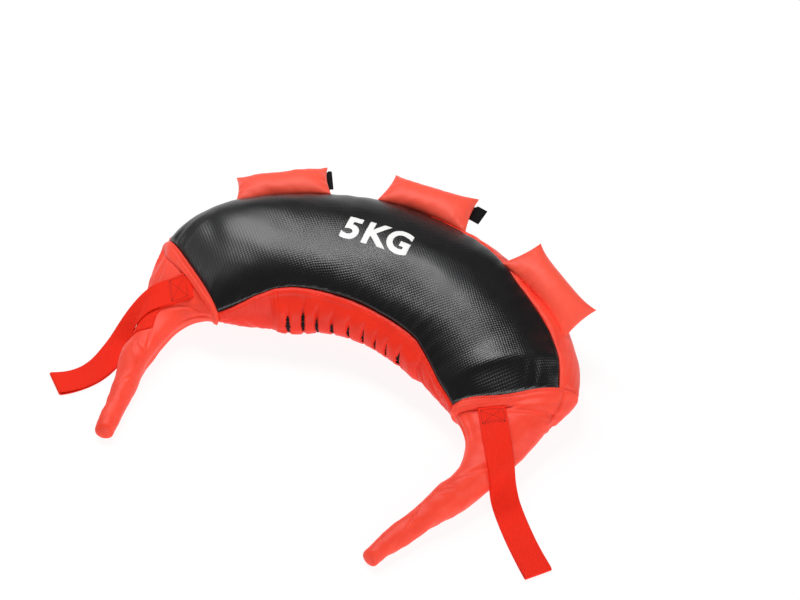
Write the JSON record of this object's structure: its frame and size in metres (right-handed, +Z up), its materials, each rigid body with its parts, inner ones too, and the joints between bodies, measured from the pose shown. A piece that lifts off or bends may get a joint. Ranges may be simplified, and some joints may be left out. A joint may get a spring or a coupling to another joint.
{
  "type": "crescent sandbag trainer",
  "caption": "Crescent sand-filled training bag with tapered horns, webbing loops and padded side grips, for swings and carries over the shoulders.",
  "frame": {"origin": "on the flat underside, below the middle of the crescent's centreline", "axes": "+X along the bag to its right end, +Z up, the open side of the crescent towards -Y"},
  "size_m": [0.6114, 0.4702, 0.1077],
  "materials": {
    "red_vinyl": "satin red coated cloth",
    "black_embossed": "semi-gloss black embossed leathercloth",
    "red_webbing": "matt woven polyester webbing",
    "black_webbing": "matt woven webbing",
    "tape": "matt hook-and-loop tape",
    "pouch_canvas": "plain canvas, filled with sand",
    "fibre": "felted fibre wadding"
  },
  "bodies": {
    "bag": {"top_panel": "black_embossed", "inner_gusset": "red_vinyl", "bottom_panel": "red_vinyl", "outer_band": "red_vinyl", "closure_flap": "red_vinyl", "closure_hook_tape": "tape", "closure_loop_tape": "tape", "left_sand_pouch": "pouch_canvas", "centre_sand_pouch": "pouch_canvas", "right_sand_pouch": "pouch_canvas", "left_end_cover": "red_vinyl", "right_end_cover": "red_vinyl", "left_fibre_wad": "fibre", "right_fibre_wad": "fibre", "left_strap_patch": "red_webbing", "right_strap_patch": "red_webbing"},
    "left_horn": {"left_horn_sleeve": "red_vinyl", "left_horn_stuffing": "fibre"},
    "right_horn": {"right_horn_sleeve": "red_vinyl", "right_horn_stuffing": "fibre"},
    "left_strap": {"left_strap_loop": "red_webbing"},
    "right_strap": {"right_strap_loop": "red_webbing"},
    "left_grip": {"left_grip_cover": "red_vinyl", "left_grip_stuffing": "fibre", "left_grip_webbing": "black_webbing"},
    "centre_grip": {"centre_grip_cover": "red_vinyl", "centre_grip_stuffing": "fibre", "centre_grip_webbing": "black_webbing"},
    "right_grip": {"right_grip_cover": "red_vinyl", "right_grip_stuffing": "fibre", "right_grip_webbing": "black_webbing"}
  },
  "joints": [
    {"name": "left_horn_flex", "type": "hinge", "parent": "bag", "child": "left_horn", "pos_m": [-0.20323, -0.22397, 0.0191], "axis": [-0.9954, -0.0958, 0], "range_deg": [0, 30], "stiffness_Nm_per_rad": 0.5},
    {"name": "right_horn_flex", "type": "hinge", "parent": "bag", "child": "right_horn", "pos_m": [0.18903, -0.24697, 0.0191], "axis": [-0.891, 0.454, 0], "range_deg": [0, 30], "stiffness_Nm_per_rad": 0.5},
    {"name": "left_strap_swing", "type": "hinge", "parent": "bag", "child": "left_strap", "pos_m": [-0.20425, -0.14977, 0.05288], "axis": [-0.749, 0.6065, 0.2667], "range_deg": [0, 90]},
    {"name": "right_strap_swing", "type": "hinge", "parent": "bag", "child": "right_strap", "pos_m": [0.20131, -0.15191, 0.05356], "axis": [-0.8323, -0.5405, -0.1234], "range_deg": [0, 90]},
    {"name": "left_grip_flap", "type": "hinge", "parent": "bag", "child": "left_grip", "pos_m": [-0.15703, 0.02771, 0.0825], "axis": [0.8427, 0.5336, 0.0711], "range_deg": [0, 60], "stiffness_Nm_per_rad": 0.15},
    {"name": "centre_grip_flap", "type": "hinge", "parent": "bag", "child": "centre_grip", "pos_m": [-0.00276, 0.07191, 0.08614], "axis": [1, 0.0086, 0.0002], "range_deg": [0, 60], "stiffness_Nm_per_rad": 0.15},
    {"name": "right_grip_flap", "type": "hinge", "parent": "bag", "child": "right_grip", "pos_m": [0.17013, 0.01266, 0.08191], "axis": [0.8559, -0.4837, -0.1831], "range_deg": [0, 60], "stiffness_Nm_per_rad": 0.15}
  ]
}
